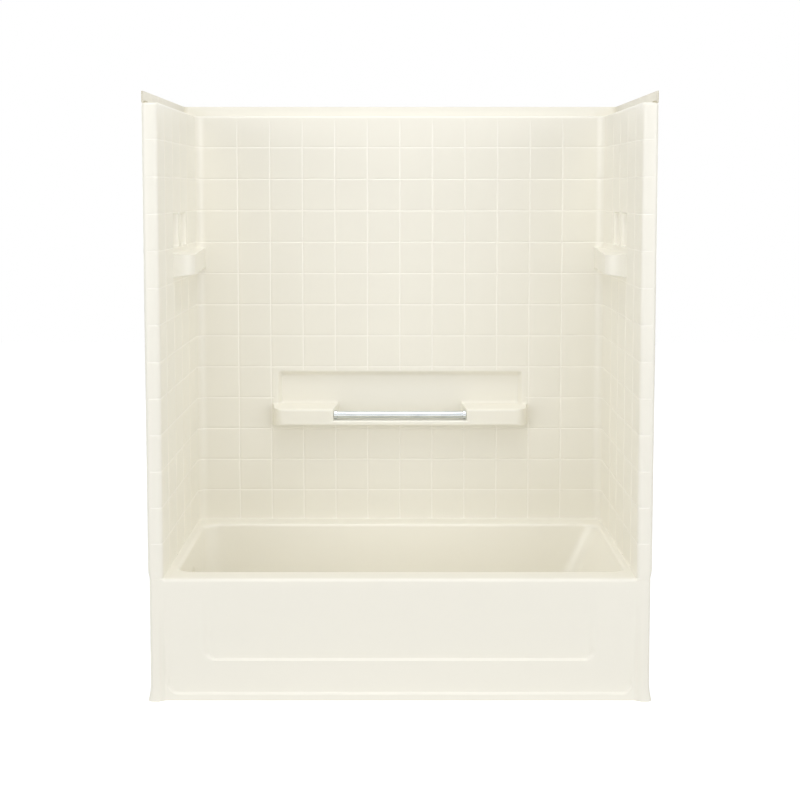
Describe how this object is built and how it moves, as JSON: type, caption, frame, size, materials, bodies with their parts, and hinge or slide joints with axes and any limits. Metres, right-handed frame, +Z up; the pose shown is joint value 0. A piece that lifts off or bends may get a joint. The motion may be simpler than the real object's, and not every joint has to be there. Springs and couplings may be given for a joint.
{
  "type": "bath with shower surround",
  "caption": "Alcove bath with apron, three tiled wall panels, shelf and towel bar, end-wall soap ledges, and a trip-lever waste and overflow.",
  "frame": {"origin": "middle of the footprint, on the floor", "axes": "+X to the right seen from the open front, +Y from the open front towards the back wall, +Z up"},
  "size_m": [1.524, 0.762, 1.829],
  "materials": {
    "moulding": "gloss",
    "trim": "satin",
    "chrome": "polished",
    "brass": "satin",
    "steel": "zinc plated",
    "foot": "matte",
    "rubber": "matte",
    "seal": "matte foam",
    "board": "sawn"
  },
  "bodies": {
    "root": {"bath_shell": "moulding", "back_wall_panel": "moulding", "left_wall_panel": "moulding", "right_wall_panel": "moulding", "towel_bar": "chrome", "bar_ferrule_left": "chrome", "bar_ferrule_right": "chrome", "floor_board": "board", "foot_front_left": "foot", "foot_front_right": "foot", "foot_back_left": "foot", "foot_back_right": "foot", "apron_brace_left": "board", "apron_brace_right": "board", "back_batten_lower": "board", "back_batten_upper": "board", "left_batten": "board", "right_batten": "board", "deck_seal_back": "seal", "deck_seal_left": "seal", "deck_seal_right": "seal", "corner_seal_left": "seal", "corner_seal_right": "seal", "seam_screw_left_1": "steel", "seam_screw_left_2": "steel", "seam_screw_left_3": "steel", "seam_screw_right_1": "steel", "seam_screw_right_2": "steel", "seam_screw_right_3": "steel", "deck_screw_1": "steel", "deck_screw_2": "steel", "deck_screw_3": "steel", "deck_screw_4": "steel", "deck_screw_5": "steel", "deck_screw_6": "steel", "deck_screw_7": "steel", "drain_flange": "chrome", "drain_strainer": "chrome", "strainer_screw": "chrome", "drain_gasket": "rubber", "drain_shoe": "brass", "waste_tube": "brass", "waste_tee": "brass", "overflow_tube": "brass", "overflow_elbow": "brass", "shoe_nut": "brass", "tee_side_nut": "brass", "tee_top_nut": "brass", "elbow_nut": "brass", "overflow_gasket": "rubber", "overflow_plate": "trim", "overflow_screw_1": "chrome", "overflow_screw_2": "chrome", "lever_pin": "brass"},
    "lever": {"trip_lever": "trim"},
    "linkage": {"linkage_rod": "brass", "plunger": "brass"}
  },
  "joints": [
    {"name": "linkage_lift", "type": "slide", "parent": "root", "child": "linkage", "axis": [0, 0, -1], "range_m": [0, 0.02534]},
    {"name": "lever_tilt", "type": "hinge", "parent": "root", "child": "lever", "pos_m": [-0.689, -0.007, 0.255], "axis": [0, -1, 0], "range_deg": [0, 36]}
  ],
  "couplings": [
    {"joint": "lever_tilt", "follows": "linkage_lift", "rad_per_m": 24.79}
  ]
}
